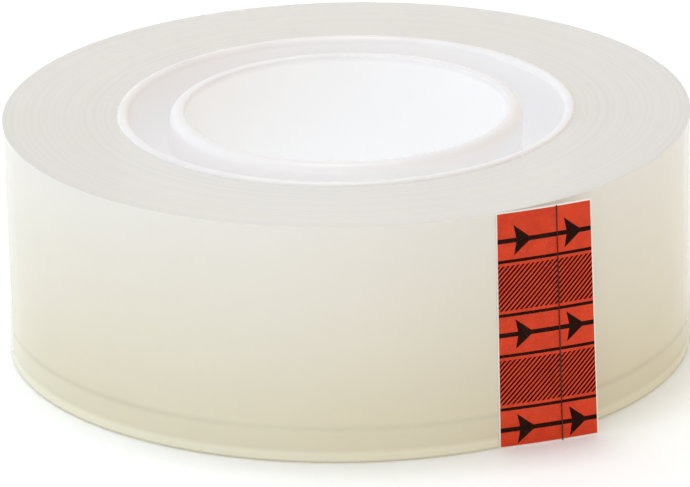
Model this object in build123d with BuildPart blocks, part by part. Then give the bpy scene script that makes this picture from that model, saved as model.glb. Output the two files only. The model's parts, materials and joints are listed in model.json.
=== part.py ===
from build123d import *
from math import degrees
import os

# A roll of clear office tape on its moulded core, lying flat on one side.
# Row frame: millimetres, +Z along the roll's axis, z = 0 on the tape's lower edge.
# -Y is the front. The tape's free end leaves the roll right of the front and points towards +X.

# Wound tape
TAPE_WIDTH = 19.0
TAPE_THICKNESS = 0.05
ROLL_RADIUS = 27.0
CORE_RADIUS = 18.0

# Core: an outer ring and a hub sleeve, joined by a web half way up
BORE_RADIUS = 12.7
HUB_WALL = 1.15
RING_WALL = 0.9
CORE_BOTTOM = 0.6
CORE_TOP = 19.2
WEB_THICKNESS = 1.2
BORE_ROUNDING = 0.2
HUB_ROUNDING = 0.7
CHANNEL_ROUNDING = 0.45
RING_ROUNDING = 0.3
WEB_ROUNDING = 0.5

# Free end: a printed starter tab stuck under the last few millimetres of the tape
PEEL_AZIMUTH = 24.5
LIFT_ANGLE = 8.8
FLAP_BEND_RADIUS = 60.0
TAB_LENGTH = 7.8
TAB_THICKNESS = 0.08
TAPE_END_LENGTH = 4.95
HINGE_GAP = 0.15
ROLL_GAP = 0.02

os.makedirs("parts", exist_ok=True)


def from_front(azimuth):
    """Unit vector out of the roll's axis, turned from the front (-Y) towards +X."""
    return Vector(0, -1, 0).rotate(Axis.Z, azimuth)


# Core: one moulding, turned from a section like a letter H lying between the two rings
ring_inner = CORE_RADIUS - RING_WALL
hub_outer = BORE_RADIUS + HUB_WALL
core_height = CORE_TOP - CORE_BOTTOM
core_middle = (CORE_TOP + CORE_BOTTOM) / 2
channel_width = ring_inner - hub_outer
channel_middle = (ring_inner + hub_outer) / 2
rim_roundings = {
    BORE_RADIUS: BORE_ROUNDING,
    hub_outer: HUB_ROUNDING,
    ring_inner: CHANNEL_ROUNDING,
    CORE_RADIUS: RING_ROUNDING,
}

with BuildPart() as core:
    with BuildSketch(Plane.XZ) as core_section:
        with Locations((CORE_RADIUS, core_middle)):
            Rectangle(RING_WALL, core_height, align=(Align.MAX, Align.CENTER))
        with Locations((BORE_RADIUS, core_middle)):
            Rectangle(HUB_WALL, core_height, align=(Align.MIN, Align.CENTER))
        for wall, rounding in rim_roundings.items():
            corners = core_section.vertices().filter_by_position(Axis.X, wall - 0.01, wall + 0.01)
            fillet(corners, radius=rounding)
        with Locations((channel_middle, core_middle)):
            Rectangle(channel_width, WEB_THICKNESS)
        web_corners = [
            corner
            for corner in core_section.vertices()
            if abs(abs(corner.Z - core_middle) - WEB_THICKNESS / 2) < 0.01
        ]
        fillet(web_corners, radius=WEB_ROUNDING)
    revolve(axis=Axis.Z)
core.part.label = "core"
export_step(core.part, "parts/core.step")


# Wound tape: every stuck turn together, as one annulus tight on the core
with BuildPart() as tape_roll:
    with BuildSketch(Plane.XY):
        Circle(ROLL_RADIUS)
        Circle(CORE_RADIUS, mode=Mode.SUBTRACT)
    extrude(amount=TAPE_WIDTH)
tape_roll.part.label = "tape_roll"
export_step(tape_roll.part, "parts/tape_roll.step")


# The flap stands on the peel line. Its plane's X runs along the flap, its Y towards the roll.
peel_point = from_front(PEEL_AZIMUTH) * ROLL_RADIUS
flap_direction = from_front(PEEL_AZIMUTH + 90 - LIFT_ANGLE)
flap_plane = Plane(origin=peel_point, x_dir=flap_direction, z_dir=(0, 0, 1))


def film_section(lift, thickness, length):
    """Section of one film of the flap, bent about a point on the roll's side of it."""
    bend_centre = (0, FLAP_BEND_RADIUS)
    start = degrees(HINGE_GAP / FLAP_BEND_RADIUS) - 90
    turn = degrees((length - HINGE_GAP) / FLAP_BEND_RADIUS)
    inner_radius = FLAP_BEND_RADIUS + lift
    with BuildSketch(flap_plane) as section:
        with BuildLine():
            inner = CenterArc(bend_centre, inner_radius, start, turn)
            outer = CenterArc(bend_centre, inner_radius + thickness, start, turn)
            Line(inner @ 0, outer @ 0)
            Line(inner @ 1, outer @ 1)
        make_face()
    return section.sketch


# Starter tab: the inner film, which the fingers take hold of past the end of the tape
with BuildPart() as starter_tab:
    extrude(film_section(ROLL_GAP, TAB_THICKNESS, TAB_LENGTH), amount=TAPE_WIDTH)
starter_tab.part.label = "starter_tab"
export_step(starter_tab.part, "parts/starter_tab.step")


# Tape end: the tape's own last stretch, stuck on the outside of the starter tab
with BuildPart() as tape_end:
    tape_end_lift = ROLL_GAP + TAB_THICKNESS
    extrude(film_section(tape_end_lift, TAPE_THICKNESS, TAPE_END_LENGTH), amount=TAPE_WIDTH)
tape_end.part.label = "tape_end"
export_step(tape_end.part, "parts/tape_end.step")
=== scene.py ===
import json
import math
import random

import bmesh
import bpy
from mathutils import Matrix, Vector


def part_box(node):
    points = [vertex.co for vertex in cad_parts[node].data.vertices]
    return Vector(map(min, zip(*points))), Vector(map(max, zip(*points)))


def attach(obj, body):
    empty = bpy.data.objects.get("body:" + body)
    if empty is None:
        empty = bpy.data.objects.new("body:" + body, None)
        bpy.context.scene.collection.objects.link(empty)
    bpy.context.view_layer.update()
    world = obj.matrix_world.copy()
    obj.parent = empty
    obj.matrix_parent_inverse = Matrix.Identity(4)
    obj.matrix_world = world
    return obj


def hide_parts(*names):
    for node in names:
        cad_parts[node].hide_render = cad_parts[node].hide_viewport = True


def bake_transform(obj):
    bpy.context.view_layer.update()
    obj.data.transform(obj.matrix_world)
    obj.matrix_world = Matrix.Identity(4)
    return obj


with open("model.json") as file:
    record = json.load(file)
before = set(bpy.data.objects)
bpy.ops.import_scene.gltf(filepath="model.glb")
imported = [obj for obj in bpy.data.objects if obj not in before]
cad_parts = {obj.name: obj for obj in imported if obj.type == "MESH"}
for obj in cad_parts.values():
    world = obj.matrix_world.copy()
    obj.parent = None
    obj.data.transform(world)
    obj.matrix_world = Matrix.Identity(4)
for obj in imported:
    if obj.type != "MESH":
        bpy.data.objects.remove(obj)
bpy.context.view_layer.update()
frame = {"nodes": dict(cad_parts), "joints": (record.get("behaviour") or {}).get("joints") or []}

# Sizes in metres. The roll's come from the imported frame, the flap's repeat the design's.
MM = 0.001
ROLL_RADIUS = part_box("tape_roll")[1].x
TAPE_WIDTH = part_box("tape_roll")[1].z
CORE_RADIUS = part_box("core")[1].x
CORE_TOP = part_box("core")[1].z
HINGE = Vector(frame["joints"][0]["pos_m"])
PEEL_AZIMUTH = math.atan2(HINGE.x, -HINGE.y)
LIFT_ANGLE = math.radians(8.8)
FLAP_BEND_RADIUS = 60 * MM
TAB_LENGTH = 7.8 * MM
TAB_THICKNESS = 0.08 * MM
TAPE_END_LENGTH = 4.95 * MM
TAPE_THICKNESS = 0.05 * MM
ROLL_GAP = 0.02 * MM

SHARP_ANGLE = math.radians(35)


# ---------------------------------------------------------------- helpers

def link_mesh(name, bm):
    """A new object from a bmesh, smooth shaded with its corners kept sharp."""
    bmesh.ops.recalc_face_normals(bm, faces=bm.faces)
    mesh = bpy.data.meshes.new(name)
    bm.to_mesh(mesh)
    bm.free()
    mesh.polygons.foreach_set("use_smooth", [True] * len(mesh.polygons))
    mesh.set_sharp_from_angle(angle=SHARP_ANGLE)
    piece = bpy.data.objects.new(name, mesh)
    bpy.context.scene.collection.objects.link(piece)
    return piece


def rectangle(left, low, right, high):
    return [(left, low), (right, low), (right, high), (left, high)]


class NodeTree:
    """A node tree, with short calls to add nodes. Most give the new node's output."""

    def __init__(self, tree):
        self.tree = tree

    def add(self, kind, **settings):
        node = self.tree.nodes.new("ShaderNode" + kind)
        for key, value in settings.items():
            setattr(node, key, value)
        return node

    def feed(self, socket, value):
        """Links an output to the socket, or sets a plain value on it."""
        if isinstance(value, bpy.types.NodeSocket):
            self.tree.links.new(value, socket)
        else:
            socket.default_value = value

    def maths(self, operation, *values):
        node = self.add("Math", operation=operation)
        for socket, value in zip(node.inputs, values):
            self.feed(socket, value)
        return node.outputs[0]

    def coordinates(self, kind):
        return self.add("TexCoord").outputs[kind]

    def axes(self, vector):
        """The x, y and z of a vector."""
        node = self.add("SeparateXYZ")
        self.feed(node.inputs["Vector"], vector)
        return node.outputs

    def span(self, value, before, after):
        """The value carried from one range, before, to another, after, and held to it."""
        node = self.add("MapRange")
        self.feed(node.inputs["Value"], value)
        node.inputs["From Min"].default_value, node.inputs["From Max"].default_value = before
        node.inputs["To Min"].default_value, node.inputs["To Max"].default_value = after
        return node.outputs["Result"]

    def mixed(self, share, first, second, blend_type="MIX"):
        node = self.add("Mix", data_type="RGBA", blend_type=blend_type)
        self.feed(node.inputs["Factor"], share)
        self.feed(node.inputs["A"], first)
        self.feed(node.inputs["B"], second)
        return node.outputs["Result"]


class Material(NodeTree):
    """A new material's node tree, with the textures that the pieces here use."""

    def __init__(self, name):
        self.material = bpy.data.materials.new(name)
        self.material.use_nodes = True
        super().__init__(self.material.node_tree)
        self.shader = self.tree.nodes["Principled BSDF"]
        self.output = self.tree.nodes["Material Output"]

    def set(self, **values):
        """Plain values or links for the Principled shader, by socket name with _ for a space."""
        for key, value in values.items():
            self.feed(self.shader.inputs[key.replace("_", " ")], value)

    def noise(self, scale, detail):
        node = self.add("TexNoise")
        node.inputs["Scale"].default_value = scale
        node.inputs["Detail"].default_value = detail
        self.feed(node.inputs["Vector"], self.coordinates("Object"))
        return node.outputs["Fac"]

    def rings(self, radius, scale, detail):
        """Noise that changes with the radius only."""
        node = self.add("TexNoise", noise_dimensions="1D")
        node.inputs["Scale"].default_value = scale
        node.inputs["Detail"].default_value = detail
        self.feed(node.inputs["W"], radius)
        return node.outputs["Fac"]

    def patches(self, scale, detail, low, high):
        """A value that wanders between low and high over the surface."""
        return self.span(self.noise(scale, detail), (0.3, 0.7), (low, high))

    def ramp(self, factor, stops):
        """A colour for each place, between stops of (place, colour)."""
        node = self.add("ValToRGB")
        elements = node.color_ramp.elements
        while len(elements) < len(stops):
            elements.new(0.5)
        for element, (place, colour) in zip(elements, stops):
            element.position = place
            element.color = (*colour, 1.0)
        self.feed(node.inputs["Fac"], factor)
        return node.outputs["Color"]

    def tinted(self, colour, tint, amount):
        """The colour, multiplied by the tint where amount is 1."""
        return self.mixed(amount, colour, (*tint, 1.0), "MULTIPLY")

    def bump(self, height, strength, distance):
        node = self.add("Bump")
        node.inputs["Strength"].default_value = strength
        node.inputs["Distance"].default_value = distance
        self.feed(node.inputs["Height"], height)
        return node.outputs["Normal"]


# ---------------------------------------------------------------- core

CORE_WHITE = (0.985, 0.985, 0.99)
CORE_FLOW_MARK = (0.965, 0.965, 0.972)
# Painted shade on the rim tops: its tint, and how far down from the top it reaches
CORE_RIM_PAINTED_SHADE = (0.82, 0.82, 0.83)
CORE_RIM_SHADE_DEPTH = 0.6 * MM
CORE_GLOW = (0.95, 0.97, 1.0, 1.0)
CORE_GLOW_STRENGTH = 0.016
CORE_SCATTER_DEPTH = 2 * MM


def core_material():
    """White moulded plastic with faint flow marks, and painted shade that greys its rim tops a little, in
    patches.

    It glows faintly, as light that has come through its thin walls makes the real one do.
    """
    n = Material("core_plastic")
    plastic = n.ramp(n.noise(scale=90, detail=4), [(0.3, CORE_FLOW_MARK), (0.7, CORE_WHITE)])
    height = n.axes(n.coordinates("Object"))["Z"]
    # Painted shade: the top of the rims is made a little greyer, in patches
    near_rim = n.span(height, (CORE_TOP - CORE_RIM_SHADE_DEPTH, CORE_TOP), (0.0, 1.0))
    rim_shade = n.maths("MULTIPLY", near_rim, n.patches(scale=300, detail=4, low=0.7, high=1.0))
    n.set(
        Base_Color=n.tinted(plastic, CORE_RIM_PAINTED_SHADE, rim_shade),
        Roughness=n.patches(scale=400, detail=3, low=0.32, high=0.44),
        Normal=n.bump(n.noise(scale=900, detail=3), strength=0.15, distance=0.02 * MM),
        Subsurface_Weight=0.08,
        Subsurface_Scale=CORE_SCATTER_DEPTH,
        Subsurface_Radius=(1.0, 0.95, 0.9),
        IOR=1.49,
        Emission_Color=CORE_GLOW,
        Emission_Strength=CORE_GLOW_STRENGTH,
    )
    return n.material


# ---------------------------------------------------------------- wound tape

# Colour and clarity of the wound tape by its share of the height, from the lower edge up. The colour is
# partly the tape's own pale yellow and partly painted light and shade: painted shade darkens the lowest
# turn edge where the roll meets the floor, a lighter band lies over it, a faint painted dark line above
# that stands for the core's lower edge seen through the tape, and the tape is painted lighter and whiter
# towards the top, as light from above falls.
TAPE_TONES_AND_PAINTED_LIGHT = [
    (0.006, (0.76, 0.70, 0.53)),
    (0.012, (1.0, 0.983, 0.82)),
    (0.035, (1.0, 0.983, 0.82)),
    (0.055, (0.995, 0.962, 0.785)),
    (0.125, (0.99, 0.955, 0.78)),
    (0.145, (0.87, 0.835, 0.68)),
    (0.165, (0.975, 0.94, 0.77)),
    (0.2, (0.98, 0.944, 0.78)),
    (0.5, (0.985, 0.967, 0.88)),
    (1.0, (0.99, 0.99, 0.985)),
]
TAPE_CLARITY = [(0.035, 0.28), (0.055, 0.42), (0.3, 0.42), (1.0, 0.3)]
CLOUD_TINT = (0.99, 0.987, 0.975)
CUT_TINT = (0.915, 0.925, 0.945)
BAND_TINT = (0.965, 0.965, 0.97)
RIM_ROUGHNESS = 0.08
CUT_ROUGHNESS = 0.25
ADHESIVE_YELLOW = (0.98, 0.94, 0.74, 1.0)
ADHESIVE_DENSITY = 60.0

RELIEF_SEED = 19
EDGE_SAMPLES = 60
AZIMUTH_SAMPLES = 360
WALL_SAMPLES = 6
NEW_LEVEL_CHANCE = 0.16
LEVEL_HEIGHT = 0.02 * MM
TURN_HEIGHT = 0.003 * MM
FOOT_GAP = 0.025 * MM
OPTICAL_CONTACT = 0.04 * MM
RIM_STAND_OFF = 0.1 * MM


def wound_material():
    """Clear film wound into a block: glossy on the rim, ringed and softer on the cut edges."""
    n = Material("wound_tape")
    x, y, z = n.axes(n.coordinates("Object"))
    radius = n.maths("SQRT", n.maths("ADD", n.maths("MULTIPLY", x, x), n.maths("MULTIPLY", y, y)))
    height = n.span(z, (0.0, TAPE_WIDTH), (0.0, 1.0))
    facing = n.axes(n.add("NewGeometry").outputs["Normal"])
    cut_edge = n.span(facing["Z"], (0.4, 0.8), (0.0, 1.0))

    clouds = n.span(n.noise(scale=60, detail=3), (0.35, 0.65), (0.0, 1.0))
    bands = n.span(n.rings(radius, scale=2600, detail=2), (0.45, 0.65), (0.0, 1.0))
    # The tape's own tone by height, with painted light and shade over it
    colour = n.tinted(n.ramp(height, TAPE_TONES_AND_PAINTED_LIGHT), CLOUD_TINT, clouds)
    colour = n.tinted(colour, CUT_TINT, cut_edge)
    colour = n.tinted(colour, BAND_TINT, n.maths("MULTIPLY", bands, cut_edge))
    turns = n.maths("MULTIPLY", n.rings(radius, scale=9000, detail=4), cut_edge)
    clarity = [(share, (value, value, value)) for share, value in TAPE_CLARITY]
    n.set(
        Base_Color=colour,
        Roughness=n.span(cut_edge, (0.0, 1.0), (RIM_ROUGHNESS, CUT_ROUGHNESS)),
        Normal=n.bump(turns, strength=0.25, distance=0.01 * MM),
        Transmission_Weight=n.ramp(height, clarity),
        IOR=1.5,
    )
    absorption = n.add("VolumeAbsorption")
    absorption.inputs["Color"].default_value = ADHESIVE_YELLOW
    absorption.inputs["Density"].default_value = ADHESIVE_DENSITY
    n.feed(n.output.inputs["Volume"], absorption.outputs[0])
    return n.material


def edge_relief(rng):
    """Heights of the cut edge at even steps from core to rim: groups of turns stand a little proud."""
    heights = []
    level = 0.0
    for _ in range(EDGE_SAMPLES + 1):
        if rng.random() < NEW_LEVEL_CHANCE:
            level = rng.uniform(-1, 1) * LEVEL_HEIGHT
        heights.append(level + rng.uniform(-1, 1) * TURN_HEIGHT)
    return heights


def wound_section():
    """Closed section of the winding as (radius, height) points."""
    rng = random.Random(RELIEF_SEED)
    inner = CORE_RADIUS - OPTICAL_CONTACT
    radii = [inner + (ROLL_RADIUS - inner) * k / EDGE_SAMPLES for k in range(EDGE_SAMPLES + 1)]
    lower = [(r, FOOT_GAP + h) for r, h in zip(radii, edge_relief(rng))]
    upper = [(r, TAPE_WIDTH + h) for r, h in zip(radii, edge_relief(rng))]
    lower[-1] = (ROLL_RADIUS, RIM_STAND_OFF)
    upper[-1] = (ROLL_RADIUS, TAPE_WIDTH)
    steps = [TAPE_WIDTH * k / WALL_SAMPLES for k in range(1, WALL_SAMPLES)]
    outer_wall = [(ROLL_RADIUS, z) for z in steps]
    inner_wall = [(inner, z) for z in reversed(steps)]
    return lower + outer_wall + upper[::-1] + inner_wall


def make_wound_tape(material):
    bm = bmesh.new()
    section = wound_section()
    rings = []
    for k in range(AZIMUTH_SAMPLES):
        turn = 2 * math.pi * k / AZIMUTH_SAMPLES
        c, s = math.cos(turn), math.sin(turn)
        rings.append([bm.verts.new((r * c, r * s, z)) for r, z in section])
    for ring, following in zip(rings, rings[1:] + rings[:1]):
        for a in range(len(section)):
            b = (a + 1) % len(section)
            bm.faces.new((ring[a], ring[b], following[b], following[a]))
    piece = link_mesh("wound_tape", bm)
    piece.data.materials.append(material)
    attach(piece, "roll")
    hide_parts("tape_roll")


# ---------------------------------------------------------------- flap materials

CLEAR_TAPE = (0.06, 0.045, 0.035)
# Painted shade for the dark line just past the tape's cut end, in two tones
CUT_END_PAINTED_SHADE = (0.08, 0.02, 0.015)
CUT_END_PAINTED_SHADE_DARKER = (0.05, 0.01, 0.01)
MILKY_FILM = (0.97, 0.95, 0.90)
RED = (0.72, 0.055, 0.010)
RED_DARKER = (0.62, 0.038, 0.008)
BLACK = (0.026, 0.007, 0.004)
BLACK_DARKER = (0.016, 0.004, 0.003)
FILM_SHADE = 0.94


def film_material(name, colour, alpha, roughness, gloss):
    """Thin film, which shows what lies under it by as much as its alpha is below 1."""
    n = Material(name)
    darker = [FILM_SHADE * c for c in colour]
    n.set(
        Base_Color=n.ramp(n.noise(scale=500, detail=3), [(0.35, darker), (0.65, colour)]),
        Roughness=n.patches(scale=700, detail=2, low=roughness, high=roughness + 0.08),
        Normal=n.bump(n.noise(scale=260, detail=2), strength=0.1, distance=0.02 * MM),
        Alpha=alpha,
        IOR=1.5,
        Specular_IOR_Level=gloss,
    )
    return n.material


def print_material(name, colour, darker, gloss=0.2):
    """Ink on film: nearly even, with small changes of tone."""
    n = Material(name)
    n.set(
        Base_Color=n.ramp(n.noise(scale=900, detail=4), [(0.3, darker), (0.7, colour)]),
        Roughness=n.patches(scale=1500, detail=3, low=0.22, high=0.34),
        Normal=n.bump(n.noise(scale=1200, detail=2), strength=0.12, distance=0.01 * MM),
        IOR=1.5,
        Specular_IOR_Level=gloss,
    )
    return n.material


# ---------------------------------------------------------------- flap shape

flap_along = Vector((math.cos(PEEL_AZIMUTH - LIFT_ANGLE), math.sin(PEEL_AZIMUTH - LIFT_ANGLE), 0))
flap_inward = Vector((-flap_along.y, flap_along.x, 0))
peel_foot = Vector((HINGE.x, HINGE.y, 0))
bend_centre = peel_foot + flap_inward * FLAP_BEND_RADIUS

COLUMN = 0.22 * MM
LEAN_AT_PEEL = 0.12 * MM
LEAN_RATE = 0.052
RISE_RATE = 0.02


def flap_point(s, z, lift):
    """Place of a point s along the flap, z up it and lift outside its bend, or on the roll where s < 0."""
    if s < 0:
        azimuth = PEEL_AZIMUTH + s / ROLL_RADIUS
        reach = ROLL_RADIUS + lift
        return Vector((reach * math.sin(azimuth), -reach * math.cos(azimuth), z))
    turn = s / FLAP_BEND_RADIUS
    reach = FLAP_BEND_RADIUS + lift
    out = flap_along * math.sin(turn) - flap_inward * math.cos(turn)
    place = bend_centre + out * reach
    return Vector((place.x, place.y, z))


def askew(s, z):
    """The starter tab and the tape's cut lean a little left and up, more so towards the top and end."""
    share = z / TAPE_WIDTH
    return s - (LEAN_AT_PEEL + LEAN_RATE * s) * share, z + RISE_RATE * s * share


def bend_onto_flap(bm, lift):
    """Carries a flat mesh, x along the flap, y up it and z outwards, onto the bent flap."""
    for vertex in bm.verts:
        s, z = askew(vertex.co.x, vertex.co.y)
        vertex.co = flap_point(s, z, lift + vertex.co.z)


def cut_columns(bm, first, last):
    """Cuts a flat mesh along the peel line and at steps that all layers share, so that they bend alike.

    The peel line leans in the flat mesh, and askew() then stands it upright.
    """
    columns = range(math.ceil(first / COLUMN), math.floor(last / COLUMN) + 1)
    cuts = [(k * COLUMN, (1, 0, 0)) for k in columns if k != 0]
    cuts.append((0, (TAPE_WIDTH, -LEAN_AT_PEEL, 0)))
    for x, across in cuts:
        geometry = bm.verts[:] + bm.edges[:] + bm.faces[:]
        bmesh.ops.bisect_plane(bm, geom=geometry, plane_co=(x, 0, 0), plane_no=across)


def flat_shape(bm, outline, thickness):
    """Adds a flat plate with this outline, standing from z = 0 to thickness."""
    face = bm.faces.new([bm.verts.new((x, y, 0)) for x, y in outline])
    made = bmesh.ops.extrude_face_region(bm, geom=[face])
    top = [v for v in made["geom"] if isinstance(v, bmesh.types.BMVert)]
    bmesh.ops.translate(bm, verts=top, vec=(0, 0, thickness))


def flap_piece(name, outlines, thickness, lift, material):
    bm = bmesh.new()
    for outline in outlines:
        flat_shape(bm, outline, thickness)
    xs = [v.co.x for v in bm.verts]
    cut_columns(bm, min(xs), max(xs))
    bend_onto_flap(bm, lift)
    piece = link_mesh(name, bm)
    piece.data.materials.append(material)
    return piece


# Printed layout, in metres along the flap and up it
INK = 0.008 * MM
MARGIN = 0.1 * MM
TAB_START = -0.10 * MM
TAB_END = TAB_LENGTH + 0.2 * MM
PRINT_START = TAB_START + MARGIN
PRINT_END = TAB_END - MARGIN
ROWS = [1.45 * MM, 9.15 * MM, 16.7 * MM]
HEAD_LENGTH = 1.5 * MM
HEAD_HALF = 1.2 * MM
HEAD_NOTCH = 0.2 * MM
HEAD_TIPS = [2.87 * MM, 7.1 * MM]
SHAFT_HALF = 0.18 * MM
BANDS = [(3.5 * MM, 7.1 * MM), (11.1 * MM, 14.7 * MM)]
STRIPE = 0.2 * MM
STRIPE_PITCH = 0.41 * MM
RULE = 0.24 * MM
# Where the strip of painted shade just past the tape's cut end lies
CUT_SHADE_START = TAPE_END_LENGTH + 0.005 * MM
CUT_SHADE_END = TAPE_END_LENGTH + 0.08 * MM


def arrow_row(row):
    """Outline of a line of arrows, one behind the other."""
    lower = [(PRINT_START, -SHAFT_HALF)]
    for tip in HEAD_TIPS:
        base = tip - HEAD_LENGTH
        shoulder = tip - HEAD_LENGTH * SHAFT_HALF / HEAD_HALF
        lower += [(base + HEAD_NOTCH, -SHAFT_HALF), (base, -HEAD_HALF), (shoulder, -SHAFT_HALF)]
    lower.append((PRINT_END, -SHAFT_HALF))
    return [(x, row + y) for x, y in lower] + [(x, row - y) for x, y in reversed(lower)]


def clipped(outline, low, high):
    """The part of a convex outline between x = low and x = high."""
    for limit, side in ((low, 1), (high, -1)):
        kept = []
        for (ax, ay), (bx, by) in zip(outline, outline[1:] + outline[:1]):
            a_in = (ax - limit) * side >= 0
            b_in = (bx - limit) * side >= 0
            if a_in:
                kept.append((ax, ay))
            if a_in != b_in:
                t = (limit - ax) / (bx - ax)
                kept.append((limit, ay + (by - ay) * t))
        outline = kept
    return outline


def band_outlines(low, high):
    """A band of fine slanted stripes between two rules."""
    outlines = [
        rectangle(PRINT_START, low - 2 * RULE, PRINT_END, low - RULE),
        rectangle(PRINT_START, high + RULE, PRINT_END, high + 2 * RULE),
    ]
    lean = high - low
    x = PRINT_START - lean
    while x < PRINT_END:
        stripe = [(x, low), (x + STRIPE, low), (x + STRIPE + lean, high), (x + lean, high)]
        stripe = clipped(stripe, PRINT_START, PRINT_END)
        if len(stripe) > 2:
            outlines.append(stripe)
        x += STRIPE_PITCH
    return outlines


def make_flap():
    """The starter film, its two prints and the tape's end over them, one layer on another, with a thin
    strip of painted shade just past the tape's cut end.
    """
    tape_film = film_material("tape_film", CLEAR_TAPE, alpha=0.01, roughness=0.08, gloss=0.15)
    cut_end_shade = print_material("tape_cut_painted_shade", CUT_END_PAINTED_SHADE, CUT_END_PAINTED_SHADE_DARKER)
    starter_film = film_material("starter_film", MILKY_FILM, alpha=0.85, roughness=0.15, gloss=0.5)
    red_ink = print_material("red_ink", RED, RED_DARKER)
    dark_ink = print_material("dark_ink", BLACK, BLACK_DARKER, gloss=0.03)

    tab_outline = rectangle(TAB_START, 0, TAB_END, TAPE_WIDTH)
    red_outline = rectangle(PRINT_START, MARGIN, PRINT_END, TAPE_WIDTH - MARGIN)
    dark_outlines = [arrow_row(row) for row in ROWS]
    dark_outlines += [outline for low, high in BANDS for outline in band_outlines(low, high)]
    tape_outline = rectangle(0, 0, TAPE_END_LENGTH, TAPE_WIDTH)
    cut_shade_outline = rectangle(CUT_SHADE_START, 0, CUT_SHADE_END, TAPE_WIDTH)

    red_lift = ROLL_GAP + TAB_THICKNESS
    dark_lift = red_lift + INK
    tape_lift = dark_lift + 2 * INK
    tab = flap_piece("starter_tab_film", [tab_outline], TAB_THICKNESS, ROLL_GAP, starter_film)
    field = flap_piece("tab_red_print", [red_outline], INK, red_lift, red_ink)
    marks = flap_piece("tab_dark_print", dark_outlines, INK, dark_lift, dark_ink)
    tape = flap_piece("tape_end_film", [tape_outline], TAPE_THICKNESS, tape_lift, tape_film)
    # Painted shade: a thin dark strip just past the tape's cut end, where the cut end shades the tab
    cut_shade = flap_piece("tape_cut_painted_shade", [cut_shade_outline], TAPE_THICKNESS, tape_lift, cut_end_shade)

    for piece, slot_name in ((tab, "printed_film"), (field, "printed_film"), (marks, "printed_film"),
                             (tape, "tape_film"), (cut_shade, "tape_film")):
        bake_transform(piece)
    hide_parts("starter_tab")
    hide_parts("tape_end")


# ---------------------------------------------------------------- stage

FLOOR_HALF = 3.0
FLOOR_DROP = 0.03 * MM
FLOOR_WHITE = (0.945, 0.975, 0.99, 1.0)
FLOOR_GLOW = (0.95, 0.99, 1.0, 1.0)
FLOOR_GLOW_STRENGTH = 0.125

# The room: a white sky, cooler on the left and warmer on the right, brighter low down than overhead
SKY_LEFT = (0.91, 0.935, 0.975, 1.0)
SKY_RIGHT = (0.56, 0.41, 0.245, 1.0)
SKY_RIGHT_FALLOFF = 2.2
SKY_LOW = 1.3
SKY_OVERHEAD = 0.77

KEY_PLACE = Vector((-0.05, 0.08, 0.78))
KEY_TARGET = Vector((0, 0, 0.01))
KEY_SIDE = 0.22
KEY_POWER = 1.65

# Camera: the photograph's viewing angle, from a long lens
VIEW_PITCH = math.radians(20.26)
VIEW_ROLL = math.radians(-1.11)
VIEW_DISTANCE = 500.1 * MM
VIEW_TARGET = Vector((-0.294, 0.0, 7.74)) * MM
LENS_MM = 329.6
SENSOR_MM = 36
NEAREST_SEEN = 0.01
FARTHEST_SEEN = 20


def make_floor():
    """A plain pale floor, which glows a little so that it stays white round the roll."""
    bm = bmesh.new()
    bmesh.ops.create_grid(bm, x_segments=8, y_segments=8, size=FLOOR_HALF)
    bmesh.ops.translate(bm, verts=bm.verts, vec=(0, 0, -FLOOR_DROP))
    floor = link_mesh("floor", bm)
    n = Material("floor_white")
    n.set(Base_Color=FLOOR_WHITE, Roughness=0.7)
    n.set(Emission_Color=FLOOR_GLOW, Emission_Strength=FLOOR_GLOW_STRENGTH)
    floor.data.materials.append(n.material)


def make_sky():
    world = bpy.data.worlds.new("studio")
    world.use_nodes = True
    bpy.context.scene.world = world
    n = NodeTree(world.node_tree)
    direction = n.axes(n.coordinates("Generated"))
    across = n.span(direction["X"], (-1.0, 1.0), (0.0, 1.0))
    colour = n.mixed(n.maths("POWER", across, SKY_RIGHT_FALLOFF), SKY_LEFT, SKY_RIGHT)
    strength = n.span(direction["Z"], (0.0, 1.0), (SKY_LOW, SKY_OVERHEAD))
    background = n.tree.nodes["Background"]
    n.feed(background.inputs["Color"], colour)
    n.feed(background.inputs["Strength"], strength)


def make_key_light():
    light = bpy.data.lights.new("key", "AREA")
    light.shape = "SQUARE"
    light.size = KEY_SIDE
    light.energy = KEY_POWER
    lamp = bpy.data.objects.new("key", light)
    lamp.location = KEY_PLACE
    lamp.rotation_euler = (KEY_TARGET - KEY_PLACE).to_track_quat("-Z", "Y").to_euler()
    bpy.context.scene.collection.objects.link(lamp)


def make_camera():
    camera = bpy.data.cameras.new("camera")
    camera.lens = LENS_MM
    camera.sensor_width = SENSOR_MM
    camera.clip_start = NEAREST_SEEN
    camera.clip_end = FARTHEST_SEEN
    holder = bpy.data.objects.new("camera", camera)
    forward = Vector((0, math.cos(VIEW_PITCH), -math.sin(VIEW_PITCH)))
    level = Vector((1, 0, 0))
    upright = level.cross(forward)
    right = level * math.cos(VIEW_ROLL) + upright * math.sin(VIEW_ROLL)
    up = upright * math.cos(VIEW_ROLL) - level * math.sin(VIEW_ROLL)
    turn = Matrix((right, up, -forward)).transposed()
    holder.matrix_world = Matrix.LocRotScale(VIEW_TARGET - forward * VIEW_DISTANCE, turn, None)
    bpy.context.scene.collection.objects.link(holder)
    bpy.context.scene.camera = holder


# ---------------------------------------------------------------- the scene

make_camera()
make_wound_tape(wound_material())
core_slots = frame["nodes"]["core"].data.materials
core_slots.clear()
core_slots.append(core_material())
make_flap()
make_floor()
make_sky()
make_key_light()
bpy.context.scene.view_settings.view_transform = "Standard"

# White walls that face each other pass light to and fro many times
light_paths = bpy.context.scene.cycles
light_paths.max_bounces = 24
light_paths.diffuse_bounces = 16
light_paths.transmission_bounces = 16
